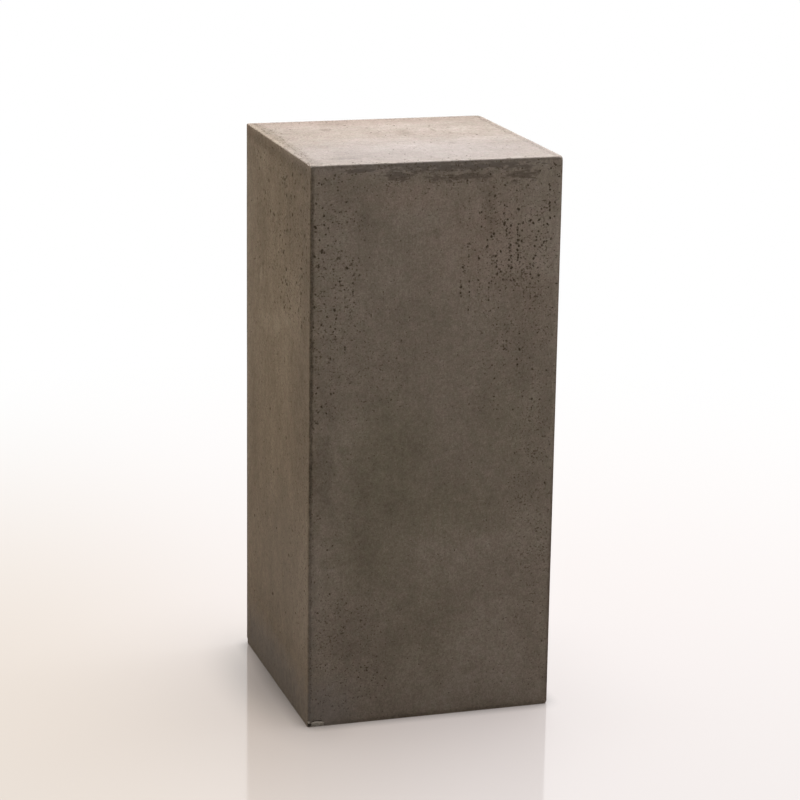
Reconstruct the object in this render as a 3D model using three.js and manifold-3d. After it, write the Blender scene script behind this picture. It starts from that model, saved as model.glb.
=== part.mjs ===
// A square cast concrete column that stands on its flat underside.
// Millimetres, +Z up. The origin is the middle of the underside, and the front face looks along -Y.
import * as THREE from "three";
import { RoundedBoxGeometry } from "three/addons/geometries/RoundedBoxGeometry.js";
import { mergeVertices } from "three/addons/utils/BufferGeometryUtils.js";
import Module from "manifold-3d";

// Driving dimensions of the block
const SIDE = 340;
const HEIGHT = 760;
const EDGE_RADIUS = 2;
const EDGE_STEPS = 3;

// The eight corners, as the signs of the directions that lead out of the block
const FRONT_LEFT_FOOT = [-1, -1, -1];
const FRONT_LEFT_HEAD = [-1, -1, 1];
const FRONT_RIGHT_FOOT = [1, -1, -1];
const FRONT_RIGHT_HEAD = [1, -1, 1];
const BACK_LEFT_FOOT = [-1, 1, -1];
const BACK_RIGHT_HEAD = [1, 1, 1];

// Breaks that a knock has left. The middle of the lost lump lies this far inside the corner along X, Y
// and Z, or outside it where the number is negative. Size is the lump's half length each way.
const BREAKS = [
  { corner: FRONT_LEFT_FOOT, inset: [-2, -2, -2], size: [6, 6, 7], phase: 0.4 },
  { corner: FRONT_LEFT_FOOT, inset: [15, -0.6, 6], size: [8, 2.6, 3.6], phase: 1.3 },
  { corner: BACK_LEFT_FOOT, inset: [-0.8, -0.8, 5], size: [3.6, 3.6, 3.6], phase: 2.1 },
  { corner: FRONT_LEFT_HEAD, inset: [-1, -1, -1], size: [4, 3.4, 3.4], phase: 3.7 },
];

// Corners that wear has taken to a small flat, with the length lost along each edge that meets there
const WORN_CORNERS = [
  { corner: FRONT_RIGHT_HEAD, loss: 6 },
  { corner: BACK_RIGHT_HEAD, loss: 9 },
  { corner: FRONT_RIGHT_FOOT, loss: 5 },
];

// A lost lump is a ball whose surface ripples
const LUMP_DETAIL = 2;
const RIPPLE = 0.1;
const RIPPLE_WAVES = 4;

// Warm grey concrete as it comes from a smooth mould
const CONCRETE = { color: 0x85796d, roughness: 0.8, metalness: 0 };

// Points closer than this are one point
const WELD = 1e-3;

const wasm = await Module();
wasm.setup();

// A closed triangle geometry as a solid that can be cut
function solidOf(geometry) {
  const bare = geometry.clone();
  bare.deleteAttribute("normal");
  bare.deleteAttribute("uv");
  const merged = mergeVertices(bare, WELD);
  return new wasm.Manifold(new wasm.Mesh({
    numProp: 3,
    vertProperties: new Float32Array(merged.getAttribute("position").array),
    triVerts: new Uint32Array(merged.getIndex().array),
  }));
}

// A solid back as a geometry
function geometryOf(solid) {
  const { vertProperties, triVerts } = solid.getMesh();
  const geometry = new THREE.BufferGeometry();
  geometry.setAttribute("position", new THREE.BufferAttribute(new Float32Array(vertProperties), 3));
  geometry.setIndex(new THREE.BufferAttribute(new Uint32Array(triVerts), 1));
  return geometry;
}

// Where a corner would be if its edges were sharp
function cornerPoint([signX, signY, signZ]) {
  return new THREE.Vector3((signX * SIDE) / 2, (signY * SIDE) / 2, ((signZ + 1) * HEIGHT) / 2);
}

// The whole block with every edge eased
function easedBlock() {
  const block = new RoundedBoxGeometry(SIDE, SIDE, HEIGHT, EDGE_STEPS, EDGE_RADIUS);
  block.translate(0, 0, HEIGHT / 2);
  return solidOf(block);
}

// The lump that a knock has broken off
function lostLump({ corner, inset, size, phase }) {
  const lump = new THREE.IcosahedronGeometry(1, LUMP_DETAIL);
  const position = lump.getAttribute("position");
  const point = new THREE.Vector3();
  for (let i = 0; i < position.count; i += 1) {
    point.fromBufferAttribute(position, i);
    const across = Math.sin(RIPPLE_WAVES * point.x + phase) * Math.cos(RIPPLE_WAVES * point.y - phase);
    const upward = Math.sin(RIPPLE_WAVES * point.z + 2 * phase);
    point.multiplyScalar(1 + RIPPLE * (across + upward));
    position.setXYZ(i, point.x, point.y, point.z);
  }
  lump.scale(...size);
  const inward = new THREE.Vector3(...corner).negate();
  const centre = cornerPoint(corner).add(inward.multiply(new THREE.Vector3(...inset)));
  lump.translate(centre.x, centre.y, centre.z);
  return solidOf(lump);
}

// All that lies outside a plane across the three edges of a corner
function wornTip({ corner, loss }) {
  const width = 4 * loss;
  const tip = new THREE.BoxGeometry(width, width, width);
  tip.translate(0, 0, width / 2);
  const outward = new THREE.Vector3(...corner).normalize();
  tip.applyQuaternion(new THREE.Quaternion().setFromUnitVectors(new THREE.Vector3(0, 0, 1), outward));
  const centre = cornerPoint(corner).addScaledVector(outward, -loss / Math.sqrt(3));
  tip.translate(centre.x, centre.y, centre.z);
  return solidOf(tip);
}

function makeColumn() {
  const lost = [...BREAKS.map(lostLump), ...WORN_CORNERS.map(wornTip)];
  const solid = lost.reduce((left, piece) => left.subtract(piece), easedBlock());
  const column = new THREE.Mesh(geometryOf(solid), new THREE.MeshStandardMaterial(CONCRETE));
  column.name = "column";
  return column;
}

const object = new THREE.Group();
object.add(makeColumn());

export default object;
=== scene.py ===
import itertools
import math
import random

import bpy
from mathutils import Matrix, Vector


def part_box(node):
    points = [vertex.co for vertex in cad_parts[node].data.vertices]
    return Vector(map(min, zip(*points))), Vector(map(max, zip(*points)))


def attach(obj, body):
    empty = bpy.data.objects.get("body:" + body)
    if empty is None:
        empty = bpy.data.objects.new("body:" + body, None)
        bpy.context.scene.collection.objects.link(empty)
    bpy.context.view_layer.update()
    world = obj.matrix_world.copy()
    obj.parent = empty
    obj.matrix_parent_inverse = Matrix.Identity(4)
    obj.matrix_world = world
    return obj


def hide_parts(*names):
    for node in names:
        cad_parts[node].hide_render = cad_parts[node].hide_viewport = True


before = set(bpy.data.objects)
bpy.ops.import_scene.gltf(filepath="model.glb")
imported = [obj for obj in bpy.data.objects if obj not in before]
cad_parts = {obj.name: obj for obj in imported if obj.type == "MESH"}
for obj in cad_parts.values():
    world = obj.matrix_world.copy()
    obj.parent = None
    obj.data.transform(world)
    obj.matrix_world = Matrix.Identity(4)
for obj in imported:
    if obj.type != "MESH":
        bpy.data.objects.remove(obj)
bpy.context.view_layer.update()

scene = bpy.context.scene

# The block stands on z = 0 with its front towards -Y. Metres, except where a table says millimetres.
MM = 0.001
LOW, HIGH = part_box("column")
SIDE = HIGH.x - LOW.x
HEIGHT = HIGH.z - LOW.z
HALF = SIDE / 2
EDGE_RADIUS = 2 * MM

# The camera stands left of the front face and looks a little down on the block. Degrees, and
# millimetres for the lens and the picture that it throws.
CAMERA_AT = (-1.046, -3.398, 1.362)
CAMERA_YAW = 17.19
CAMERA_PITCH = 15.17
CAMERA_ROLL = 0.85
LENS = 120.63
SENSOR = 36

# Flat faces have square cells, and this many narrow rows turn round each eased edge on each side
CELL = 12 * MM
EDGE_ROWS = 3

# A thin mould bows: the faces dip this far inwards, in waves this long, but not near the floor
WAVE_DEPTH = 0.3 * MM
WAVE_LENGTH = 90 * MM
TRUE_FOOT = 30 * MM

# Air that the paste held against the mould left voids. Their middles lie just outside the face.
VOID_SEED = 7
VOID_LIFT = 0.25
VOID_DEPTH = (0.65, 1.05)
VOID_STRETCH = (0.9, 1.5)
VOID_LEAN = 0.5

# Some have grown together with a smaller twin. Above the last radius a void needs a rounder shape.
TWIN_SHARE = 0.3
TWIN_SIZE = 0.8
BIG_VOID = 1.3

# Fields of voids in millimetres, seen from outside: face, left, right, low, high, how many, and the
# smallest and largest radius
VOID_FIELDS = [
    ("front", 3, 34, 420, 750, 140, 0.8, 1.6),
    ("front", 3, 50, 560, 700, 14, 1.5, 2.2),
    ("front", 235, 300, 560, 715, 14, 1.5, 2.2),
    ("front", 34, 68, 570, 750, 66, 0.8, 1.5),
    ("front", 34, 68, 420, 570, 34, 0.75, 1.3),
    ("front", 68, 136, 420, 570, 96, 0.75, 1.3),
    ("front", 68, 204, 570, 722, 62, 0.75, 1.3),
    ("front", 68, 240, 722, 754, 60, 0.7, 1.3),
    ("front", 136, 204, 420, 530, 20, 0.75, 1.1),
    ("front", 204, 240, 570, 740, 62, 0.8, 1.5),
    ("front", 204, 240, 420, 570, 24, 0.8, 1.3),
    ("front", 238, 306, 570, 752, 150, 0.8, 1.7),
    ("front", 238, 306, 420, 570, 66, 0.8, 1.5),
    ("front", 306, 336, 640, 752, 56, 0.8, 1.6),
    ("front", 306, 336, 250, 640, 95, 0.75, 1.4),
    ("front", 306, 336, 30, 250, 70, 0.75, 1.4),
    ("front", 238, 306, 30, 300, 72, 0.75, 1.3),
    ("front", 3, 34, 20, 420, 80, 0.75, 1.4),
    ("front", 34, 102, 20, 160, 72, 0.75, 1.4),
    ("front", 34, 102, 160, 420, 40, 0.75, 1.2),
    ("front", 102, 238, 20, 420, 55, 0.75, 1.2),
    ("left", 5, 335, 715, 752, 80, 0.8, 1.5),
    ("left", 180, 335, 540, 735, 150, 0.9, 2.0),
    ("left", 40, 180, 560, 690, 60, 0.8, 1.6),
    ("left", 180, 335, 540, 735, 36, 1.6, 2.8),
    ("left", 20, 180, 560, 740, 16, 1.5, 2.4),
    ("left", 20, 320, 60, 540, 24, 1.4, 2.2),
    ("left", 270, 335, 90, 420, 80, 0.8, 1.6),
    ("left", 10, 270, 40, 560, 90, 0.8, 1.5),
    ("right", 5, 335, 640, 750, 80, 0.8, 1.6),
    ("right", 5, 100, 60, 640, 100, 0.8, 1.6),
    ("right", 100, 335, 60, 640, 90, 0.8, 1.3),
    ("back", 5, 335, 650, 750, 80, 0.8, 1.6),
    ("back", 220, 335, 60, 650, 90, 0.8, 1.6),
    ("back", 5, 220, 60, 650, 90, 0.8, 1.3),
    ("top", 6, 334, 6, 334, 160, 0.8, 1.7),
    ("top", 4, 20, 6, 334, 40, 0.8, 1.5),
    ("underside", 12, 328, 12, 328, 50, 0.8, 1.4),
]

# Voids that rose one above the other: face, left, right, low, high in millimetres, how many runs
VOID_RUNS = [
    ("front", 200, 216, 560, 650, 7),
    ("front", 262, 284, 620, 690, 8),
    ("front", 215, 325, 470, 730, 18),
    ("front", 8, 60, 450, 690, 7),
    ("left", 150, 320, 540, 720, 8),
    ("right", 40, 300, 380, 720, 12),
    ("back", 40, 300, 380, 720, 12),
]
RUN_VOIDS = (4, 9)
RUN_STEP = (2.2, 6.0)
RUN_SWAY = 0.8
RUN_RADIUS = (0.7, 1.9)

# Long voids: face, left, low, right, high in millimetres, radius, and the share that is there
SEAM_VOIDS = [
    ("front", 3.5, 20, 3.5, 745, 0.9, 0.7),
    ("front", 330, 710, 330, 748, 0.7, 0.7),
    ("front", 168, 734, 242, 730, 0.8, 0.6),
    ("front", 286, 738, 309, 718, 0.8, 0.6),
    ("left", 20, 745, 320, 741, 0.7, 0.5),
    ("top", 5, 8, 7, 334, 0.9, 0.5),
    ("top", 11, 8, 9, 334, 1.1, 0.55),
    ("top", 14, 60, 18, 334, 0.9, 0.5),
    ("top", 331, 20, 333, 330, 1.0, 0.5),
    ("top", 327, 120, 329, 330, 0.8, 0.4),
]
SEAM_STEP = 5.0
SEAM_SWAY = 1.3
SEAM_RADIUS = (0.6, 1.2)
SEAM_LENGTH = (1.0, 3.2)
SEAM_LEAN = 0.15

# Small knocks along the edges, nearly up to the corners
NICKS_PER_METRE = 34
NICK_SPAN = 0.97
NICK_HALF_WIDTH = (0.8, 1.3)
NICK_HALF_LENGTH = (0.8, 4.0)
NICK_DEPTH = (0.9, 1.5)

# Corners are written as the signs of the directions that lead out of the block
FRONT_LEFT_FOOT = (-1, -1, -1)
FRONT_LEFT_HEAD = (-1, -1, 1)
FRONT_RIGHT_FOOT = (1, -1, -1)
FRONT_RIGHT_HEAD = (1, -1, 1)
BACK_LEFT_FOOT = (-1, 1, -1)
BACK_LEFT_HEAD = (-1, 1, 1)
BACK_RIGHT_FOOT = (1, 1, -1)
BACK_RIGHT_HEAD = (1, 1, 1)

# What a cutting shape leaves behind: a small or a big void, an old dull break or a pale one, whose paleness
# is a painted highlight
SMALL, BIG, OLD_BREAK, PAINTED_LIT_BREAK = range(4)
PALENESS = {OLD_BREAK: 0.05, PAINTED_LIT_BREAK: 1.0}

# Breaks in millimetres: the corner, how far inside it along X, Y and Z the lost lump's middle lay,
# the lump's half size each way, and what it leaves behind
BREAKS = [
    (FRONT_LEFT_FOOT, (13, -1.0, 3.8), (9.5, 4.2, 4.2), PAINTED_LIT_BREAK),
    (FRONT_LEFT_FOOT, (10.5, 0.4, 8.2), (4.6, 3.2, 1.0), OLD_BREAK),
    (FRONT_LEFT_FOOT, (17, 0.3, 8.4), (3.6, 2.6, 0.9), OLD_BREAK),
    (FRONT_LEFT_FOOT, (3.4, 0.5, 3.7), (2.8, 4.6, 2.2), OLD_BREAK),
    (FRONT_LEFT_FOOT, (0.8, 0.8, 1.0), (2.4, 2.4, 1.8), OLD_BREAK),
    (FRONT_LEFT_FOOT, (1.2, 0.2, 7.4), (2.0, 1.7, 1.5), PAINTED_LIT_BREAK),
    (BACK_LEFT_FOOT, (-0.6, 0.8, 4.0), (4.0, 5, 4.5), PAINTED_LIT_BREAK),
    (FRONT_LEFT_HEAD, (0, 0, 0), (3.6, 2.6, 2.0), OLD_BREAK),
    (FRONT_LEFT_HEAD, (0, 14, 0), (2, 7, 1.8), OLD_BREAK),
    (FRONT_LEFT_HEAD, (10, 0, 0), (6, 1.3, 1.3), OLD_BREAK),
    (BACK_LEFT_HEAD, (0, 0, 0), (2.5, 2.5, 2), OLD_BREAK),
    (BACK_RIGHT_FOOT, (0, 0, 1), (5, 5, 6), PAINTED_LIT_BREAK),
]

# Corners that wear has rounded, each with its new radius in millimetres
WORN_CORNERS = [(FRONT_RIGHT_HEAD, 4.7), (BACK_RIGHT_HEAD, 7), (FRONT_RIGHT_FOOT, 4)]
WEAR_DIRECTIONS = [(1, 1, 1), (0.35, 1, 1), (1, 0.35, 1), (1, 1, 0.35)]

# The half sizes of a lump that wear takes off, as parts of that radius
WEAR_WIDTH = 2.4
WEAR_DEPTH = 1.3

# How uneven a break is, and how long the waves of it are, as parts of the lump's half size
LUMP_ROUGHNESS = 0.55
LUMP_WAVE = 0.4

# A loose body with fewer points than this is a crumb that the cutting shapes have freed
CRUMB_POINTS = 1000

# Edges that turn more than this, in degrees, look sharp
SHARP_ANGLE = 50

rng = random.Random(VOID_SEED)


class Face:
    """A flat side of the block, seen from outside: u runs to the right and v up from a corner."""

    def __init__(self, corner, right, up):
        self.corner = Vector(corner)
        self.right = Vector(right)
        self.up = Vector(up)
        self.out = self.right.cross(self.up)

    def point(self, u, v, out=0.0):
        """The place u, v on the face, in millimetres, and that far out of it."""
        return self.corner + (self.right * u + self.up * v + self.out * out) * MM

    def reach(self, wide, high, deep):
        """Half sizes along the face, up it and through it, in millimetres, as sizes along X, Y and Z."""
        return Vector(abs(c) for c in self.right * wide + self.up * high + self.out * deep) * MM

    def flat_place(self, point):
        """Where a point in space lies on the face: u, v and its distance from the face, in metres."""
        offset = point - self.corner
        return offset.dot(self.right), offset.dot(self.up), abs(offset.dot(self.out))


FACES = {
    "front": Face((-HALF, -HALF, 0), (1, 0, 0), (0, 0, 1)),
    "right": Face((HALF, -HALF, 0), (0, 1, 0), (0, 0, 1)),
    "back": Face((HALF, HALF, 0), (-1, 0, 0), (0, 0, 1)),
    "left": Face((-HALF, HALF, 0), (0, -1, 0), (0, 0, 1)),
    "top": Face((-HALF, -HALF, HEIGHT), (1, 0, 0), (0, 1, 0)),
    "underside": Face((-HALF, HALF, 0), (1, 0, 0), (0, -1, 0)),
}


def cutter(at, up, out, size, kind):
    """A shape to take away: its Y is turned to up and its Z to out. The size is in millimetres."""
    turn = Matrix((up.cross(out), up, out)).transposed()
    return {"at": at, "turn": turn.to_euler(), "size": Vector(size) * MM, "kind": kind}


def void(face, u, v, radius, stretch=None, angle=None):
    """A void with its middle at u, v on a face, in millimetres."""
    side = FACES[face]
    deep = radius * rng.uniform(*VOID_DEPTH)
    stretch = rng.uniform(*VOID_STRETCH) if stretch is None else stretch
    angle = rng.gauss(0, VOID_LEAN) if angle is None else angle
    up = side.up * math.cos(angle) + side.right * math.sin(angle)
    size = (radius, radius * stretch, deep)
    kind = BIG if radius > BIG_VOID else SMALL
    return cutter(side.point(u, v, VOID_LIFT * deep), up, side.out, size, kind)


def graded(smallest, largest):
    """A random size: the larger, the rarer."""
    return smallest + (largest - smallest) * rng.random() ** 2


def scattered_voids():
    for face, left, right, low, high, count, smallest, largest in VOID_FIELDS:
        for _ in range(count):
            u = rng.uniform(left, right)
            v = rng.uniform(low, high)
            radius = graded(smallest, largest)
            yield void(face, u, v, radius)
            if rng.random() < TWIN_SHARE:
                turn = rng.uniform(0, math.tau)
                beside = u + radius * math.cos(turn)
                above = v + radius * math.sin(turn)
                yield void(face, beside, above, TWIN_SIZE * radius)


def void_runs():
    for face, left, right, low, high, count in VOID_RUNS:
        for _ in range(count):
            u = rng.uniform(left, right)
            v = rng.uniform(low, high)
            for _ in range(rng.randint(*RUN_VOIDS)):
                yield void(face, u, v, graded(*RUN_RADIUS))
                u += rng.uniform(-RUN_SWAY, RUN_SWAY)
                v -= rng.uniform(*RUN_STEP)


def seam_voids():
    for face, left, low, right, high, radius, share in SEAM_VOIDS:
        length = math.hypot(right - left, high - low)
        angle = math.atan2(right - left, high - low)
        for i in range(round(length / SEAM_STEP)):
            if rng.random() > share:
                continue
            along = (i + rng.random()) * SEAM_STEP / length
            u = left + (right - left) * along + rng.gauss(0, SEAM_SWAY) * math.cos(angle)
            v = low + (high - low) * along + rng.gauss(0, SEAM_SWAY) * math.sin(angle)
            stretch = rng.uniform(*SEAM_LENGTH)
            size = radius * rng.uniform(*SEAM_RADIUS)
            yield void(face, u, v, size, stretch, angle + rng.gauss(0, SEAM_LEAN))


def edge_nicks():
    """Each edge runs along one axis, at the end of the other two that the signs give."""
    half = Vector((HALF, HALF, HEIGHT / 2))
    for axis, sign_a, sign_b in itertools.product(range(3), (-1, 1), (-1, 1)):
        out = Vector((0, 0, 0))
        out[(axis + 1) % 3] = sign_a
        out[(axis + 2) % 3] = sign_b
        along = Vector((0, 0, 0))
        along[axis] = 1
        middle = Vector((0, 0, HEIGHT / 2)) + Vector(a * b for a, b in zip(out, half))
        out.normalize()
        for _ in range(round(2 * half[axis] * NICKS_PER_METRE)):
            at = middle + along * half[axis] * rng.uniform(-NICK_SPAN, NICK_SPAN)
            deep = rng.uniform(*NICK_DEPTH)
            size = (rng.uniform(*NICK_HALF_WIDTH), rng.uniform(*NICK_HALF_LENGTH), deep)
            yield cutter(at, along, out, size, BIG)


def corner_point(corner, inset=(0, 0, 0)):
    """A sharp corner, or the place that lies inside it by the inset along X, Y and Z in millimetres."""
    x, y, z = (sign * half for sign, half in zip(corner, (HALF, HALF, HEIGHT / 2)))
    inward = Vector(-sign * far * MM for sign, far in zip(corner, inset))
    return Vector((x, y, z + HEIGHT / 2)) + inward


def breaks():
    for corner, inset, size, kind in BREAKS:
        yield cutter(corner_point(corner, inset), Vector((0, 1, 0)), Vector((0, 0, 1)), size, kind)


def worn_corners():
    """Each flat lump lies against the ball that the corner is worn to."""
    for (corner, radius), weights in itertools.product(WORN_CORNERS, WEAR_DIRECTIONS):
        out = Vector(sign * weight for sign, weight in zip(corner, weights)).normalized()
        bite = radius * (sum(abs(part) for part in out) - 1)
        wide = WEAR_WIDTH * radius
        deep = WEAR_DEPTH * radius
        at = corner_point(corner) + out * (deep - bite) * MM
        up = out.orthogonal().normalized()
        yield cutter(at, up, out, (wide, wide, deep), OLD_BREAK)


def cutter_cloud():
    """One point for each cutting shape, which carries its turn, size and kind."""
    cutters = [*scattered_voids(), *void_runs(), *seam_voids(), *edge_nicks(), *breaks(), *worn_corners()]
    mesh = bpy.data.meshes.new("cutters")
    mesh.from_pydata([one["at"] for one in cutters], [], [])
    for name in ("turn", "size"):
        layer = mesh.attributes.new(name, "FLOAT_VECTOR", "POINT")
        layer.data.foreach_set("vector", [part for one in cutters for part in one[name]])
    layer = mesh.attributes.new("kind", "INT", "POINT")
    layer.data.foreach_set("value", [one["kind"] for one in cutters])
    cloud = bpy.data.objects.new("cutters", mesh)
    scene.collection.objects.link(cloud)
    return cloud


def add(tree, kind, inputs=None, **settings):
    """Adds a node. An input is a plain value, a socket to link, or a node to link by its first output."""
    node = tree.nodes.new(kind)
    for name, value in settings.items():
        setattr(node, name, value)
    for key, value in (inputs or {}).items():
        named = isinstance(key, str)
        target = next(s for s in node.inputs if s.enabled and s.name == key) if named else node.inputs[key]
        if isinstance(value, bpy.types.Node):
            value = next(s for s in value.outputs if s.enabled)
        if isinstance(value, bpy.types.NodeSocket):
            tree.links.new(value, target)
        else:
            target.default_value = value
    return node


def linear(code):
    """An sRGB hex colour as linear RGBA."""
    parts = [int(code[i : i + 2], 16) / 255 for i in (1, 3, 5)]
    return (*[c / 12.92 if c <= 0.04045 else ((c + 0.055) / 1.055) ** 2.4 for c in parts], 1)


def named_inputs(tree, sizes):
    for name, value in sizes.items():
        kind = "NodeSocketVector" if isinstance(value, tuple) else "NodeSocketFloat"
        tree.interface.new_socket(name=name, in_out="INPUT", socket_type=kind)


def eased_block(tree, given):
    """A box of whole cells, whose points are then put on flat faces and round the eased edges."""
    half = add(tree, "ShaderNodeVectorMath", {0: given["Size"], 1: (0.5,) * 3}, operation="MULTIPLY")
    ease = given["Edge Radius"]
    radius = add(tree, "ShaderNodeCombineXYZ", {0: ease, 1: ease, 2: ease})
    flat = add(tree, "ShaderNodeVectorMath", {0: half, 1: radius}, operation="SUBTRACT")
    cell = add(tree, "ShaderNodeCombineXYZ", {0: given["Cell"], 1: given["Cell"], 2: given["Cell"]})
    share = add(tree, "ShaderNodeVectorMath", {0: flat, 1: cell}, operation="DIVIDE")
    cells = add(tree, "ShaderNodeVectorMath", {0: share}, operation="CEIL")
    rows = add(tree, "ShaderNodeVectorMath", {0: cells, 1: (EDGE_ROWS,) * 3}, operation="ADD")
    whole = add(tree, "ShaderNodeVectorMath", {0: rows, 1: (2,) * 3}, operation="MULTIPLY")
    counts = add(tree, "ShaderNodeVectorMath", {0: whole, 1: (1,) * 3}, operation="ADD")
    count = add(tree, "ShaderNodeSeparateXYZ", {0: counts}).outputs
    grid = add(
        tree,
        "GeometryNodeMeshCube",
        {"Size": whole, "Vertices X": count[0], "Vertices Y": count[1], "Vertices Z": count[2]},
    )

    place = add(tree, "GeometryNodeInputPosition")
    sign = add(tree, "ShaderNodeVectorMath", {0: place}, operation="SIGN")
    far = add(tree, "ShaderNodeVectorMath", {0: place}, operation="ABSOLUTE")
    on_flat = add(tree, "ShaderNodeVectorMath", {0: far, 1: cells}, operation="MINIMUM")
    portion = add(tree, "ShaderNodeVectorMath", {0: on_flat, 1: cells}, operation="DIVIDE")
    core = add(tree, "ShaderNodeVectorMath", {0: portion, 1: flat}, operation="MULTIPLY")
    past = add(tree, "ShaderNodeVectorMath", {0: far, 1: on_flat}, operation="SUBTRACT")
    angle = add(
        tree, "ShaderNodeVectorMath", {0: past, 1: (math.pi / 4 / EDGE_ROWS,) * 3}, operation="MULTIPLY"
    )
    slope = add(tree, "ShaderNodeVectorMath", {0: angle}, operation="TANGENT")
    outward = add(tree, "ShaderNodeVectorMath", {0: slope}, operation="NORMALIZE")
    eased = add(
        tree, "ShaderNodeVectorMath", {0: outward, 1: radius, 2: core}, operation="MULTIPLY_ADD"
    )
    lift = add(tree, "ShaderNodeVectorMath", {0: half, 1: (0, 0, 1)}, operation="MULTIPLY")
    standing = add(tree, "ShaderNodeVectorMath", {0: eased, 1: sign, 2: lift}, operation="MULTIPLY_ADD")
    return add(tree, "GeometryNodeSetPosition", {"Geometry": grid, "Position": standing})


def bowed(tree, block, given):
    """The faces dip inwards in long waves that die out towards the floor."""
    pitch = add(tree, "ShaderNodeMath", {0: 1.0, 1: given["Wave Length"]}, operation="DIVIDE")
    wave = add(tree, "ShaderNodeTexNoise", {"Scale": pitch, "Detail": 1.0})
    place = add(tree, "GeometryNodeInputPosition")
    height = add(tree, "ShaderNodeSeparateXYZ", {0: place}).outputs["Z"]
    clear = add(tree, "ShaderNodeMapRange", {"Value": height, "From Max": given["True Foot"]})
    depth = add(tree, "ShaderNodeMath", {0: wave, 1: clear}, operation="MULTIPLY")
    inward = add(tree, "ShaderNodeMath", {0: depth, 1: given["Wave Depth"]}, operation="MULTIPLY")
    normal = add(tree, "GeometryNodeInputNormal")
    scaled = add(tree, "ShaderNodeVectorMath", {0: normal, "Scale": inward}, operation="SCALE")
    turned = add(tree, "ShaderNodeVectorMath", {0: scaled, 1: (-1,) * 3}, operation="MULTIPLY")
    return add(tree, "GeometryNodeSetPosition", {"Geometry": block, "Offset": turned})


def rough_lump(tree, given):
    """A ball with a broken, uneven surface."""
    ball = add(tree, "GeometryNodeMeshIcoSphere", {"Radius": 1.0, "Subdivisions": 5})
    pitch = add(tree, "ShaderNodeMath", {0: 1.0, 1: given["Lump Wave"]}, operation="DIVIDE")
    crumble = add(tree, "ShaderNodeTexNoise", {"Scale": pitch, "Detail": 4.0, "Roughness": 0.6})
    centred = add(tree, "ShaderNodeMath", {0: crumble, 1: 0.5}, operation="SUBTRACT")
    swell = add(tree, "ShaderNodeMath", {0: centred, 1: given["Lump Roughness"]}, operation="MULTIPLY")
    place = add(tree, "GeometryNodeInputPosition")
    push = add(tree, "ShaderNodeVectorMath", {0: place, "Scale": swell}, operation="SCALE")
    return add(tree, "GeometryNodeSetPosition", {"Geometry": ball, "Offset": push})


def cut_shapes(tree, given):
    """Puts the right cutting shape on each point, and marks the walls that it will leave. Many of them
    overlap, so each is taken away on its own."""
    size = add(tree, "GeometryNodeInputNamedAttribute", {"Name": "size"}, data_type="FLOAT_VECTOR")
    turn = add(tree, "GeometryNodeInputNamedAttribute", {"Name": "turn"}, data_type="FLOAT_VECTOR")
    kind = add(tree, "GeometryNodeInputNamedAttribute", {"Name": "kind"}, data_type="INT")
    rotation = add(tree, "FunctionNodeEulerToRotation", {0: turn})
    lump = rough_lump(tree, given)
    shapes = {
        SMALL: add(tree, "GeometryNodeMeshIcoSphere", {"Radius": 1.0, "Subdivisions": 1}),
        BIG: add(tree, "GeometryNodeMeshIcoSphere", {"Radius": 1.0, "Subdivisions": 2}),
        OLD_BREAK: lump,
        PAINTED_LIT_BREAK: lump,
    }
    joined = add(tree, "GeometryNodeJoinGeometry")
    for number, shape in shapes.items():
        wanted = add(
            tree, "FunctionNodeCompare", {"A": kind, "B": number}, data_type="INT", operation="EQUAL"
        )
        mark = "broken" if number in PALENESS else "void"
        wall = add(
            tree,
            "GeometryNodeStoreNamedAttribute",
            {"Geometry": shape, "Name": mark, "Value": PALENESS.get(number, 1.0)},
            domain="FACE",
        )
        placed = add(
            tree,
            "GeometryNodeInstanceOnPoints",
            {
                "Points": given["Cutters"],
                "Selection": wanted,
                "Instance": wall,
                "Rotation": rotation,
                "Scale": size,
            },
        )
        tree.links.new(placed.outputs[0], joined.inputs[0])
    return joined


def without_crumbs(tree, mesh):
    """Crumbs fall away, and pockets that nothing opens are filled."""
    body = add(tree, "GeometryNodeInputMeshIsland").outputs["Island Index"]
    points = add(tree, "GeometryNodeAccumulateField", {"Value": 1.0, "Group ID": body}).outputs["Total"]
    crumb = add(tree, "FunctionNodeCompare", {"A": points, "B": CRUMB_POINTS}, operation="LESS_THAN")
    return add(tree, "GeometryNodeDeleteGeometry", {"Geometry": mesh, "Selection": crumb})


def block_tree(sizes):
    """The eased and bowed block less all its cutting shapes, each new wall marked with its depth."""
    tree = bpy.data.node_groups.new("cast_block", "GeometryNodeTree")
    tree.interface.new_socket(name="Cutters", in_out="INPUT", socket_type="NodeSocketGeometry")
    named_inputs(tree, sizes)
    tree.interface.new_socket(name="Finish", in_out="INPUT", socket_type="NodeSocketMaterial")
    tree.interface.new_socket(name="Block", in_out="OUTPUT", socket_type="NodeSocketGeometry")
    given = add(tree, "NodeGroupInput").outputs
    block = bowed(tree, eased_block(tree, given), given)
    cut = add(
        tree,
        "GeometryNodeMeshBoolean",
        {"Mesh 1": block, "Mesh 2": cut_shapes(tree, given)},
        operation="DIFFERENCE",
        solver="MANIFOLD",
    )
    depth = add(tree, "GeometryNodeProximity", {0: block}, target_element="FACES").outputs["Distance"]
    whole = without_crumbs(tree, cut)
    marked = add(
        tree, "GeometryNodeStoreNamedAttribute", {"Geometry": whole, "Name": "depth", "Value": depth}
    )
    real = add(tree, "GeometryNodeRealizeInstances", {0: marked})
    finished = add(tree, "GeometryNodeSetMaterial", {"Geometry": real, "Material": given["Finish"]})
    add(tree, "NodeGroupOutput", {0: finished})
    return tree


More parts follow.
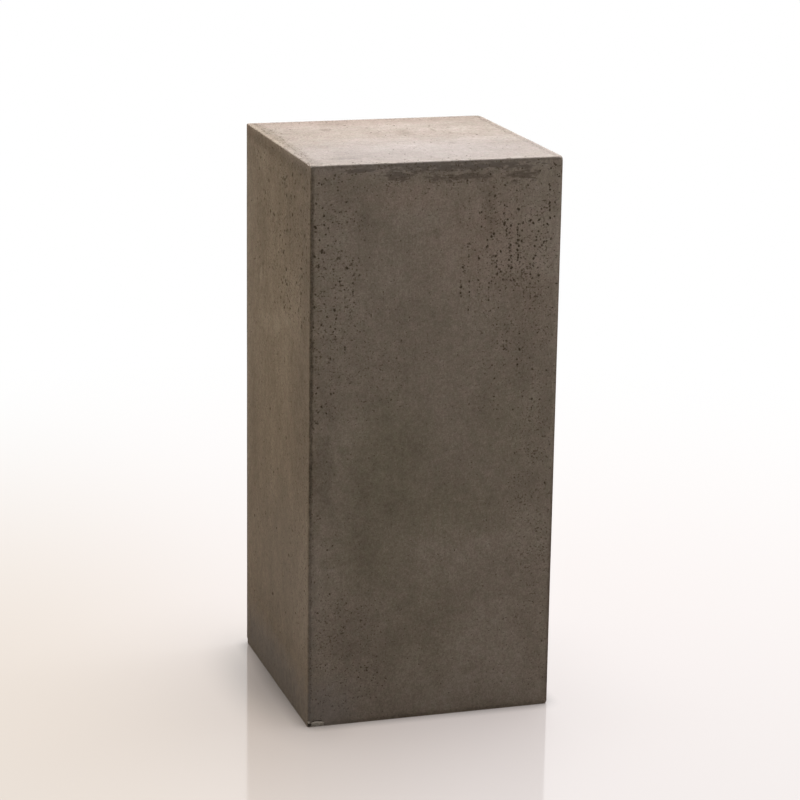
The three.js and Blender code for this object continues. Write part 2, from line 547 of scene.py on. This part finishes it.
def unwrap(mesh):
    """Lays the four sides in a row with the top and underside above them, all to one scale."""
    sides = ("front", "right", "back", "left")
    places = {name: Vector((number * SIDE, 0)) for number, name in enumerate(sides)}
    places["top"] = Vector((0, HEIGHT))
    places["underside"] = Vector((SIDE, HEIGHT))
    scale = 1 / (4 * SIDE)
    layer = mesh.uv_layers.new(name="OFBake")
    for polygon in mesh.polygons:
        nearest = min(FACES, key=lambda name: FACES[name].flat_place(polygon.center)[2])
        for loop in polygon.loop_indices:
            point = mesh.vertices[mesh.loops[loop].vertex_index].co
            u, v, _ = FACES[nearest].flat_place(point)
            layer.data[loop].uv = (places[nearest] + Vector((u, v))) * scale


def make_column(finish):
    sizes = {
        "Size": (SIDE, SIDE, HEIGHT),
        "Edge Radius": EDGE_RADIUS,
        "Cell": CELL,
        "Wave Depth": WAVE_DEPTH,
        "Wave Length": WAVE_LENGTH,
        "True Foot": TRUE_FOOT,
        "Lump Roughness": LUMP_ROUGHNESS,
        "Lump Wave": LUMP_WAVE,
    }
    tree = block_tree(sizes)
    cloud = cutter_cloud()
    modifier = cloud.modifiers.new("cast", "NODES")
    modifier.node_group = tree
    for item in tree.interface.items_tree:
        if item.name in sizes:
            modifier[item.identifier] = sizes[item.name]
        if item.name == "Finish":
            modifier[item.identifier] = finish
    evaluated = cloud.evaluated_get(bpy.context.evaluated_depsgraph_get())
    mesh = bpy.data.meshes.new_from_object(evaluated)
    mesh.name = "cast_column"
    bpy.data.objects.remove(cloud)
    mesh.set_sharp_from_angle(angle=math.radians(SHARP_ANGLE))
    unwrap(mesh)
    column = bpy.data.objects.new("cast_column", mesh)
    scene.collection.objects.link(column)
    return column


# Marks on the concrete in millimetres: face, middle u, v, half width, half height, strength. First the
# areas where the paste is greener or more rose, then those where it dried darker or paler. The dark
# marks across the left side's foot are painted shade, darker towards the floor, and the pale smears
# across its middle are painted sheen.
GREEN_CLOUDS = [
    ("front", 105, 350, 60, 90, 0.7),
    ("front", 150, 290, 110, 45, 0.6),
    ("front", 90, 240, 55, 60, 0.6),
    ("front", 155, 130, 55, 90, 0.4),
    ("front", 270, 400, 40, 60, 0.35),
]
ROSE_CLOUDS = [
    ("front", 235, 655, 65, 65, 0.6),
    ("front", 140, 712, 55, 18, 0.6),
    ("front", 300, 590, 40, 60, 0.35),
    ("front", 190, 650, 40, 40, 0.35),
    ("top", 170, 150, 220, 200, 0.3),
    ("top", 140, 325, 200, 50, 0.7),
]
DARK_CLOUDS = [
    ("front", 241, 692, 9, 27, 0.5),
    ("front", 72, 672, 10, 40, 0.3),
    ("front", 156, 615, 6, 28, 0.45),
    ("front", 169, 664, 5, 8, 0.8),
    ("front", 62, 325, 22, 50, 0.4),
    ("front", 112, 292, 26, 40, 0.15),
    ("front", 22, 410, 24, 150, 0.6),
    ("front", 18, 360, 18, 60, 1.15),
    ("front", 34, 730, 36, 22, 0.45),
    ("front", 145, 635, 36, 30, 0.3),
    ("front", 110, 505, 100, 60, 0.3),
    ("front", 217, 355, 26, 40, 0.28),
    ("front", 315, 310, 22, 50, 0.25),
    ("front", 78, 235, 20, 45, 0.45),
    ("front", 60, 128, 30, 38, 0.6),
    ("front", 105, 110, 26, 22, 0.25),
    ("front", 12, 30, 16, 30, 0.5),
    ("front", 292, 478, 16, 40, 0.35),
    ("front", 330, 430, 12, 60, 0.4),
    ("front", 3, 220, 9, 190, 0.6),
    # Painted shade: the left side darker towards the floor
    ("left", 175, 0, 200, 115, 1.0),
    ("left", 175, 170, 220, 190, 0.35),
    ("left", 300, 735, 50, 20, 0.55),
    ("left", 200, 700, 40, 50, 0.3),
    ("left", 312, 590, 24, 170, 0.45),
    ("left", 300, 400, 40, 100, 0.85),
    ("left", 255, 400, 34, 80, 0.45),
    ("left", 30, 330, 30, 130, 0.35),
    # Painted shade: the left side darker still just above the floor
    ("left", 175, 0, 200, 45, 1.0),
    ("left", 250, 660, 70, 60, 0.4),
    ("left", 40, 720, 60, 12, 0.3),
    ("left", 235, 285, 24, 50, 0.3),
    ("left", 215, 370, 30, 30, 0.25),
    ("top", 113, 318, 28, 26, 0.9),
    ("top", 160, 332, 220, 34, 0.5),
    ("top", 262, 322, 16, 14, 0.8),
    ("top", 55, 44, 20, 9, 0.9),
    ("top", 62, 66, 34, 26, 0.4),
    ("top", 230, 128, 4, 8, 0.9),
    ("top", 236, 232, 3, 12, 0.8),
    ("top", 92, 262, 7, 10, 1.0),
    ("top", 190, 215, 10, 26, 0.5),
]
PALE_CLOUDS = [
    ("front", 316, 675, 24, 60, 0.75),
    ("front", 268, 630, 22, 24, 0.6),
    ("front", 265, 50, 40, 50, 0.7),
    ("front", 140, 70, 34, 40, 0.5),
    ("front", 165, 40, 150, 50, 0.45),
    ("front", 216, 95, 34, 36, 0.6),
    ("front", 24, 215, 20, 50, 0.2),
    ("front", 295, 262, 32, 40, 0.4),
    ("front", 55, 72, 45, 22, 0.5),
    ("front", 25, 735, 30, 16, 0.15),
    # Painted sheen: pale smears across the left side
    ("left", 86, 564, 9, 10, 1.5),
    ("left", 118, 506, 34, 14, 1.0),
    ("left", 168, 515, 20, 14, 1.6),
    ("left", 212, 536, 30, 11, 1.2),
    ("left", 90, 725, 30, 16, 1.3),
    ("left", 10, 520, 14, 150, 0.7),
    ("left", 120, 330, 60, 60, 0.4),
    ("top", 200, 190, 120, 120, 0.5),
    ("top", 30, 85, 30, 40, 0.6),
]

# Dark lines along the edges, where grime gathers, and painted shade along the feet where the block meets
# the floor;
# then pale lines along the edges, painted highlights where light catches the eased edges
EDGE_GRIME_AND_SHADE = [
    ("front", 2, 560, 3, 330, 1.4),
    ("front", 2, 180, 2.5, 260, 0.9),
    ("front", 339, 170, 3, 220, 1.0),
    # Painted shade along the front's foot, where it meets the floor
    ("front", 170, 1, 300, 4, 0.9),
    ("front", 170, 758, 300, 2.5, 1.0),
    ("left", 170, 748, 300, 7, 0.5),
    # Painted shade along the left side's foot: a thin line and a wider band, darker towards the floor
    ("left", 170, 2, 300, 5, 0.7),
    ("left", 110, 12, 200, 36, 1.0),
    ("left", 2, 380, 3, 700, 0.5),
    ("right", 2, 380, 3, 700, 0.6),
    ("right", 338, 380, 3, 700, 0.5),
    # Painted shade along the feet of the right side and the back
    ("right", 170, 2, 300, 5, 0.6),
    ("back", 170, 2, 300, 5, 0.6),
    ("back", 338, 380, 3, 700, 0.5),
    ("top", 11, 170, 6, 300, 0.35),
    ("top", 332, 170, 4, 300, 0.35),
]
# Painted highlights, where light catches the eased edges
PAINTED_EDGE_HIGHLIGHTS = [
    ("front", 338, 600, 4, 260, 0.8),
    ("top", 2, 170, 4, 300, 0.25),
    ("top", 338, 170, 4, 300, 0.4),
    ("top", 170, 3, 300, 4, 0.6),
]

# The wet stain under the front's top edge, and the size of the level streaks that it breaks up into
STAINS = [
    ("front", 222, 751, 75, 4.5, 1.0),
    ("front", 115, 744, 16, 9, 0.9),
    ("front", 66, 751, 22, 3, 0.9),
    ("front", 165, 748, 60, 3, 0.8),
    ("front", 200, 738, 55, 5, 0.7),
    ("front", 285, 738, 20, 8, 0.8),
    ("front", 145, 755, 120, 3, 0.6),
]
STREAK = (5 * MM, 5 * MM, 2 * MM)

# The left side has a thin ochre film, which also paints the warm light that falls on that side, and lime
# has bloomed grey in places
OCHRE_FILMS_AND_WARM_LIGHT = [
    ("left", 150, 380, 165, 600, 1.0),
]
BLOOMS = [
    ("top", 170, 70, 190, 90, 0.25),
    ("front", 20, 20, 40, 40, 0.25),
    ("left", 170, 20, 200, 50, 0.5),
    ("left", 220, 150, 160, 130, 0.18),
]

# Where pores too small to cut crowd together, and their width and the width of their clumps. Real ones
# are well under a millimetre, too fine for the picture, so they are drawn coarser, as dark specks of dirt
# and painted shade.
PORE_CLOUDS = [
    ("front", 30, 590, 45, 170, 1.0),
    ("front", 110, 520, 60, 60, 0.7),
    ("front", 285, 590, 70, 170, 1.0),
    ("front", 310, 300, 35, 200, 0.9),
    ("front", 55, 110, 60, 90, 0.9),
    ("front", 150, 750, 200, 30, 0.9),
    ("left", 230, 640, 140, 130, 1.0),
    ("left", 310, 300, 50, 200, 0.8),
    ("left", 170, 745, 180, 20, 1.0),
    ("left", 170, 380, 180, 360, 0.5),
    ("right", 60, 380, 90, 380, 0.9),
    ("right", 170, 700, 180, 90, 0.8),
    ("back", 280, 380, 90, 380, 0.9),
    ("back", 170, 700, 180, 90, 0.8),
    ("top", 5, 170, 16, 180, 1.0),
]
PORE_WIDTH = 3.2
PORE_CLUMP = 22

# Paste colours from the darkest to the palest, and the tints that lie over them
PASTE = [(0.0, "#473E33"), (0.5, "#897C6E"), (1.0, "#BBAFA2")]
OLIVE_TINT = "#F0F5EA"
ROSE_TINT = "#FFF6F5"
# The ochre tint is partly painted warm light on the left side
OCHRE_AND_WARM_LIGHT_TINT = "#FBF8EE"
GREENER = "#FAFBF6"
REDDER = "#FFFBFA"
STAIN = "#6A5E52"
# The void colour stands for dirt and for the painted shade inside the hollows
VOID_DIRT_AND_SHADE = "#4E4232"
BLOOM = "#8F8A88"
# Broken paste is a little paler, and much paler on the pale breaks: there it is a painted highlight where
# light falls on the ledge
BROKEN_PASTE_AND_HIGHLIGHT = "#CBC2B5"

# Patterns of the paste: their size along X, Y and Z in millimetres, detail and strength. The wide ones
# are drawn out sideways and upwards, as the mould was filled. The finest grain of real paste is too
# small for the picture, so the last one is coarser than real.
PASTE_PATTERNS = [
    ((120, 90, 150), 2.0, 0.22),
    ((45, 32, 52), 3.0, 0.17),
    ((14, 10, 15), 3.0, 0.22),
    ((4, 4, 4.5), 2.0, 0.34),
    ((1.8, 1.8, 2), 1.0, 0.38),
]

# The size of the faint mottle of greener and redder paste in millimetres, and the part of its noise in
# which the one turns into the other
HUE_MOTTLE = 12
HUE_TURN = (0.35, 0.65)

# How far the marks move the paste along its ramp of colours
DARK_SHIFT = -0.16
PALE_SHIFT = 0.10
EDGE_SHIFT = -0.22
HIGHLIGHT_SHIFT = 0.12
GREEN_SHIFT = -0.08
ROSE_SHIFT = 0.08

# How softly marks fade out, as a part of their half size, the size of the tatters of their outlines in
# millimetres, and how deep they reach through their face at most
CLOUD_FADE = 1.4
TINT_FADE = 1.6
LINE_FADE = 1.2
TATTERS = (14, 14, 14)
LINE_TATTERS = (8, 8, 12)
STAIN_TATTERS = (14, 14, 5)
MARK_DEPTH = 15

# The stain grows from nothing to full while the sum of its mark and this much of the streaks passes
# from one limit to the other
STREAK_SHARE = 1.6
STAIN_LIMITS = (1.12, 1.5)

# Pores grow from nothing to their full strength while the sum of their specks and of these shares of
# their clumps and crowds passes from one limit to the other
CLUMP_SHARE = 0.3
CROWD_SHARE = 0.11
PORE_LIMITS = (0.86, 0.95)
PORE_STRENGTH = 0.75

# Dirt and painted shade lie in the voids, and darken their walls as strongly as this at these depths
DIRT_AND_SHADE_DEPTHS = (0.05 * MM, 0.7 * MM)
DIRT_AND_SHADE_STRENGTHS = (0.45, 0.95)

# Dark paste is rougher than pale paste, and neither gleams much. All of it has a grain this wide and
# deep, which is finer still on real concrete.
ROUGHNESSES = (0.9, 0.7)
GLEAM = 0.15
GRAIN_WIDTH = 1.3 * MM
GRAIN_DEPTH = 0.4 * MM
GRAIN_STRENGTH = 0.35


def marks(tree, place, table, fade=CLOUD_FADE, ragged=0.25, tatters=TATTERS):
    """The strongest of a table's marks at each point: soft ellipses with uneven outlines."""
    scale = Vector(1 / (size * MM) for size in tatters)
    crumple = add(tree, "ShaderNodeVectorMath", {0: place, 1: scale}, operation="MULTIPLY")
    crumpled = add(tree, "ShaderNodeTexNoise", {"Vector": crumple, "Scale": 1.0, "Detail": 3.0})
    strongest = 0.0
    for face, u, v, wide, high, strength in table:
        side = FACES[face]
        reach = side.reach(wide, high, min(MARK_DEPTH, wide, high))
        from_middle = add(
            tree, "ShaderNodeVectorMath", {0: place, 1: side.point(u, v)}, operation="SUBTRACT"
        )
        share = add(tree, "ShaderNodeVectorMath", {0: from_middle, 1: reach}, operation="DIVIDE")
        distance = add(tree, "ShaderNodeVectorMath", {0: share}, operation="LENGTH")

        # The noise averages a half, so on average the outline lies where the sum is this edge
        edge = 1 + 2 * ragged
        uneven = add(
            tree, "ShaderNodeMath", {0: crumpled, 1: 4 * ragged, 2: distance}, operation="MULTIPLY_ADD"
        )
        shade = add(
            tree,
            "ShaderNodeMapRange",
            {"Value": uneven, "From Min": edge + fade / 2, "From Max": edge - fade / 2, "To Max": strength},
            interpolation_type="SMOOTHSTEP",
        )
        strongest = add(tree, "ShaderNodeMath", {0: shade, 1: strongest}, operation="MAXIMUM")
    return strongest


def paste_tone(tree, place, shifts):
    """How pale the paste is, from 0 to 1: its patterns, and the marks that shift them."""
    tone = 0.5 - sum(strength for *_, strength in PASTE_PATTERNS) / 2
    for number, (size, detail, strength) in enumerate(PASTE_PATTERNS):
        scale = Vector(1 / (width * MM) for width in size)
        away = (7.3 * number, 3.1 * number, 5.7 * number)
        shifted = add(
            tree, "ShaderNodeVectorMath", {0: place, 1: scale, 2: away}, operation="MULTIPLY_ADD"
        )
        cloud = add(tree, "ShaderNodeTexNoise", {"Vector": shifted, "Scale": 1.0, "Detail": detail})
        tone = add(tree, "ShaderNodeMath", {0: cloud, 1: strength, 2: tone}, operation="MULTIPLY_ADD")
    for mark, shift in shifts:
        tone = add(tree, "ShaderNodeMath", {0: mark, 1: shift, 2: tone}, operation="MULTIPLY_ADD")
    return tone


def paste_colour(tree, tone):
    paste = add(tree, "ShaderNodeValToRGB", {0: tone})
    ramp = paste.color_ramp.elements
    for end, (position, code) in zip(ramp, (PASTE[0], PASTE[-1])):
        end.position = position
        end.color = linear(code)
    for position, code in PASTE[1:-1]:
        ramp.new(position).color = linear(code)
    return paste


def hue_mottle(tree, place):
    scale = 1 / (HUE_MOTTLE * MM)
    mottle = add(tree, "ShaderNodeTexNoise", {"Vector": place, "Scale": scale, "Detail": 3.0})
    greener, redder = HUE_TURN
    lean = add(
        tree, "ShaderNodeMapRange", {"Value": mottle, "From Min": greener, "From Max": redder}
    )
    hues = {"Factor": lean, "A": linear(GREENER), "B": linear(REDDER)}
    return add(tree, "ShaderNodeMix", hues, data_type="RGBA")


def wet_stain(tree, place):
    soaked = marks(tree, place, STAINS, TINT_FADE, ragged=0.9, tatters=STAIN_TATTERS)
    streak = add(tree, "ShaderNodeVectorMath", {0: place, 1: STREAK}, operation="DIVIDE")
    islands = add(tree, "ShaderNodeTexNoise", {"Vector": streak, "Scale": 1.0, "Detail": 3.0})
    patchy = add(
        tree, "ShaderNodeMath", {0: islands, 1: STREAK_SHARE, 2: soaked}, operation="MULTIPLY_ADD"
    )
    least, most = STAIN_LIMITS
    return add(tree, "ShaderNodeMapRange", {"Value": patchy, "From Min": least, "From Max": most})


def fine_pores(tree, place):
    crowded = marks(tree, place, PORE_CLOUDS)
    width = 1 / (PORE_WIDTH * MM)
    speck = add(tree, "ShaderNodeTexNoise", {"Vector": place, "Scale": width, "Detail": 1.0})
    clump_width = 1 / (PORE_CLUMP * MM)
    clump = add(tree, "ShaderNodeTexNoise", {"Vector": place, "Scale": clump_width, "Detail": 2.0})
    thicker = add(tree, "ShaderNodeMath", {0: clump, 1: CLUMP_SHARE, 2: speck}, operation="MULTIPLY_ADD")
    chance = add(
        tree, "ShaderNodeMath", {0: crowded, 1: CROWD_SHARE, 2: thicker}, operation="MULTIPLY_ADD"
    )
    least, most = PORE_LIMITS
    return add(
        tree,
        "ShaderNodeMapRange",
        {"Value": chance, "From Min": least, "From Max": most, "To Max": PORE_STRENGTH},
    )


def void_dirt_and_shade(tree):
    """Dirt and painted shade lie only on the walls of voids, the stronger the deeper."""
    wall = add(tree, "ShaderNodeAttribute", attribute_name="void").outputs["Fac"]
    depth = add(tree, "ShaderNodeAttribute", attribute_name="depth").outputs["Fac"]
    shallow, deep = DIRT_AND_SHADE_DEPTHS
    thin, thick = DIRT_AND_SHADE_STRENGTHS
    cover = add(
        tree,
        "ShaderNodeMapRange",
        {"Value": depth, "From Min": shallow, "From Max": deep, "To Min": thin, "To Max": thick},
    )
    return add(tree, "ShaderNodeMath", {0: wall, 1: cover}, operation="MULTIPLY")


def cast_concrete():
    """Fine cement paste set hard against a smooth mould: matt, closed, clouded where it was wetter,
    with dirt and painted shade in its voids, painted shade along its feet, painted highlights along some
    edges, painted warm light on its left side, and a paler, coarser look where it is broken, painted as
    light on the pale breaks."""
    material = bpy.data.materials.new("cast_concrete_smooth_mould")
    material.use_nodes = True
    tree = material.node_tree
    shader = tree.nodes["Principled BSDF"]
    place = add(tree, "ShaderNodeTexCoord").outputs["Object"]

    green = marks(tree, place, GREEN_CLOUDS, TINT_FADE)
    rose = marks(tree, place, ROSE_CLOUDS, TINT_FADE)
    shifts = [
        (marks(tree, place, DARK_CLOUDS), DARK_SHIFT),
        (marks(tree, place, PALE_CLOUDS), PALE_SHIFT),
        (marks(tree, place, EDGE_GRIME_AND_SHADE, LINE_FADE, ragged=0.5, tatters=LINE_TATTERS), EDGE_SHIFT),
        (marks(tree, place, PAINTED_EDGE_HIGHLIGHTS, LINE_FADE, ragged=0.5, tatters=LINE_TATTERS), HIGHLIGHT_SHIFT),
        (green, GREEN_SHIFT),
        (rose, ROSE_SHIFT),
    ]
    tone = paste_tone(tree, place, shifts)

    # Each layer lies over those before it: how far it covers them, its colour, and how it mixes
    colour = paste_colour(tree, tone)
    broken = add(tree, "ShaderNodeAttribute", attribute_name="broken").outputs["Fac"]
    layers = [
        (green, linear(OLIVE_TINT), "MULTIPLY"),
        (rose, linear(ROSE_TINT), "MULTIPLY"),
        (marks(tree, place, OCHRE_FILMS_AND_WARM_LIGHT, TINT_FADE), linear(OCHRE_AND_WARM_LIGHT_TINT), "MULTIPLY"),
        (1.0, hue_mottle(tree, place), "MULTIPLY"),
        (wet_stain(tree, place), linear(STAIN), "MIX"),
        (marks(tree, place, BLOOMS, TINT_FADE), linear(BLOOM), "MIX"),
        (fine_pores(tree, place), linear(VOID_DIRT_AND_SHADE), "MIX"),
        (void_dirt_and_shade(tree), linear(VOID_DIRT_AND_SHADE), "MIX"),
        (broken, linear(BROKEN_PASTE_AND_HIGHLIGHT), "MIX"),
    ]
    for cover, tint, blend in layers:
        mix = {"Factor": cover, "A": colour, "B": tint}
        colour = add(tree, "ShaderNodeMix", mix, data_type="RGBA", blend_type=blend)
    tree.links.new(colour.outputs[2], shader.inputs["Base Color"])

    dark_rough, pale_rough = ROUGHNESSES
    worn = add(
        tree, "ShaderNodeMapRange", {"Value": tone, "To Min": dark_rough, "To Max": pale_rough}
    )
    tree.links.new(worn.outputs[0], shader.inputs["Roughness"])
    shader.inputs["Specular IOR Level"].default_value = GLEAM
    fine = add(tree, "ShaderNodeTexNoise", {"Vector": place, "Scale": 1 / GRAIN_WIDTH, "Detail": 3.0})
    bump = add(
        tree, "ShaderNodeBump", {"Strength": GRAIN_STRENGTH, "Distance": GRAIN_DEPTH, "Height": fine}
    )
    tree.links.new(bump.outputs[0], shader.inputs["Normal"])
    return material


def make_camera():
    data = bpy.data.cameras.new("camera")
    data.lens = LENS
    data.sensor_width = SENSOR
    camera = bpy.data.objects.new("camera", data)
    scene.collection.objects.link(camera)
    turn = (
        Matrix.Rotation(math.radians(-CAMERA_YAW), 4, "Z")
        @ Matrix.Rotation(math.radians(90 - CAMERA_PITCH), 4, "X")
        @ Matrix.Rotation(math.radians(CAMERA_ROLL), 4, "Z")
    )
    camera.matrix_world = Matrix.Translation(CAMERA_AT) @ turn
    scene.camera = camera


# The floor runs far out of the picture. Its colour, its glow near the block and the warmer glow left of
# it, and the light that it throws back on the block
FLOOR_REACH = 30
FLOOR_COLOUR = "#7A756F"
FLOOR_GLOW = "#B5ACA9"
WARM_GLOW = "#A08C73"
BOUNCE = "#A29E9C"

# Where the glow turns warm along X, and how far from the block the floor fades into white
WARM_FROM = 0.1
WARM_TO = -0.7
FADE_FROM = 0.2
FADE_TO = 1.9

# The floor is polished, with a thin clear coat
POLISH = 0.07
COAT = 0.4

# The floor is overexposed: it looks brighter than the light that it throws back on the block
BOUNCE_SHARE = 0.8

# How far the block's foot shades the floor, beyond its cast shadow
FOOT_SHADE = 22 * MM

# The wider shade along the block's left side: its middle, how far it reaches, and how deep it is
SHADE_AT = (-HALF, 0, 0)
SHADE_REACH = (0.10, 0.27, 1)
SHADE_DEPTH = 0.6


def floor_shade(tree, place):
    """The part of the glow that is left close round the foot and in the wider shade."""
    close = add(tree, "ShaderNodeAmbientOcclusion", {"Distance": FOOT_SHADE}, samples=4).outputs["AO"]
    from_side = add(tree, "ShaderNodeVectorMath", {0: place, 1: SHADE_AT}, operation="SUBTRACT")
    share = add(tree, "ShaderNodeVectorMath", {0: from_side, 1: SHADE_REACH}, operation="DIVIDE")
    off = add(tree, "ShaderNodeVectorMath", {0: share}, operation="LENGTH")
    wide = add(
        tree,
        "ShaderNodeMapRange",
        {"Value": off, "From Max": 1.0, "To Min": 1 - SHADE_DEPTH, "To Max": 1.0},
        interpolation_type="SMOOTHSTEP",
    )
    return add(tree, "ShaderNodeMath", {0: close, 1: wide}, operation="MULTIPLY")


def floor_glow(tree, place, lighting):
    """The colour of the glow: warmer to the left where it is seen, and plain where it lights the block."""
    across = add(tree, "ShaderNodeSeparateXYZ", {0: place}).outputs["X"]
    warmth = add(
        tree,
        "ShaderNodeMapRange",
        {"Value": across, "From Min": WARM_FROM, "From Max": WARM_TO},
        interpolation_type="SMOOTHSTEP",
    )
    looks = {"Factor": warmth, "A": linear(FLOOR_GLOW), "B": linear(WARM_GLOW)}
    look = add(tree, "ShaderNodeMix", looks, data_type="RGBA")
    glows = {"Factor": lighting, "A": look, "B": linear(BOUNCE)}
    return add(tree, "ShaderNodeMix", glows, data_type="RGBA")


def polished_floor():
    """A pale floor, ground and polished: it mirrors the block softly, and far out it is plain white."""
    material = bpy.data.materials.new("polished_pale_floor")
    material.use_nodes = True
    tree = material.node_tree
    shader = tree.nodes["Principled BSDF"]
    shader.inputs["Base Color"].default_value = linear(FLOOR_COLOUR)
    shader.inputs["Roughness"].default_value = POLISH
    shader.inputs["Coat Weight"].default_value = COAT
    shader.inputs["Coat Roughness"].default_value = POLISH
    place = add(tree, "ShaderNodeTexCoord").outputs["Object"]
    lighting = add(tree, "ShaderNodeLightPath").outputs["Is Diffuse Ray"]
    seen = add(tree, "ShaderNodeMapRange", {"Value": lighting, "To Min": 1.0, "To Max": BOUNCE_SHARE})
    shade = floor_shade(tree, place)
    looked_at = add(tree, "ShaderNodeMath", {0: shade, 1: lighting}, operation="MAXIMUM")
    strength = add(tree, "ShaderNodeMath", {0: seen, 1: looked_at}, operation="MULTIPLY")
    tree.links.new(strength.outputs[0], shader.inputs["Emission Strength"])
    glow = floor_glow(tree, place, lighting)
    tree.links.new(glow.outputs[2], shader.inputs["Emission Color"])
    distance = add(tree, "ShaderNodeVectorMath", {0: place}, operation="LENGTH")
    fade = add(
        tree,
        "ShaderNodeMapRange",
        {"Value": distance, "From Min": FADE_FROM, "From Max": FADE_TO},
        interpolation_type="SMOOTHSTEP",
    )
    white = add(tree, "ShaderNodeEmission", {"Strength": seen})
    mixed = add(tree, "ShaderNodeMixShader", {0: fade, 1: shader, 2: white})
    tree.links.new(mixed.outputs[0], tree.nodes["Material Output"].inputs["Surface"])
    return material


def make_floor():
    mesh = bpy.data.meshes.new("floor")
    corners = [(x * FLOOR_REACH, y * FLOOR_REACH, 0) for x, y in ((-1, -1), (1, -1), (1, 1), (-1, 1))]
    mesh.from_pydata(corners, [], [(0, 1, 2, 3)])
    mesh.materials.append(polished_floor())
    floor = bpy.data.objects.new("floor", mesh)
    scene.collection.objects.link(floor)


# How bright the white room is where it lights the block, against 1 where it is seen. Its ceiling is
# dark in reflections: the heights are parts of a sight line's length.
ROOM_LIGHT = 0.04
CEILING_GLEAM = 0.15
CEILING_FROM = 0.35
CEILING_TO = 0.6


def make_room():
    world = bpy.data.worlds.new("white_room")
    scene.world = world
    world.use_nodes = True
    tree = world.node_tree
    background = tree.nodes["Background"]
    background.inputs["Color"].default_value = (1, 1, 1, 1)
    path = add(tree, "ShaderNodeLightPath").outputs
    way = add(tree, "ShaderNodeTexCoord").outputs["Generated"]
    height = add(tree, "ShaderNodeSeparateXYZ", {0: way}).outputs["Z"]
    ceiling = add(
        tree,
        "ShaderNodeMapRange",
        {
            "Value": height,
            "From Min": CEILING_FROM,
            "From Max": CEILING_TO,
            "To Min": 1.0,
            "To Max": CEILING_GLEAM,
        },
    )
    seen = add(tree, "ShaderNodeMath", {0: path["Is Camera Ray"], 1: ceiling}, operation="MAXIMUM")
    brightness = {"Factor": path["Is Diffuse Ray"], "A": seen, "B": ROOM_LIGHT}
    strength = add(tree, "ShaderNodeMix", brightness)
    tree.links.new(strength.outputs[0], background.inputs["Strength"])


# Lamps: name, place, aim, width and height, watts, colour
LAMPS = [
    ("overhead_softbox", (0.7, 0.6, 6.0), (0, 0, 0.4), (3.2, 3.2), 895, "#EBF2FF"),
    ("left_fill", (-4.0, 0.8, 1.6), (0, 0, 0.4), (2.5, 2.5), 20, "#FFD264"),
]


def make_lamps():
    for name, place, aim, size, watts, colour in LAMPS:
        data = bpy.data.lights.new(name, "AREA")
        data.shape = "RECTANGLE"
        data.size, data.size_y = size
        data.energy = watts
        data.color = linear(colour)[:3]
        lamp = bpy.data.objects.new(name, data)
        lamp.location = place
        lamp.rotation_euler = (Vector(aim) - Vector(place)).to_track_quat("-Z", "Y").to_euler()
        scene.collection.objects.link(lamp)


make_camera()
make_floor()
make_room()
make_lamps()
scene.view_settings.view_transform = "Standard"

column = make_column(cast_concrete())
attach(column, "root")
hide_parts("column")
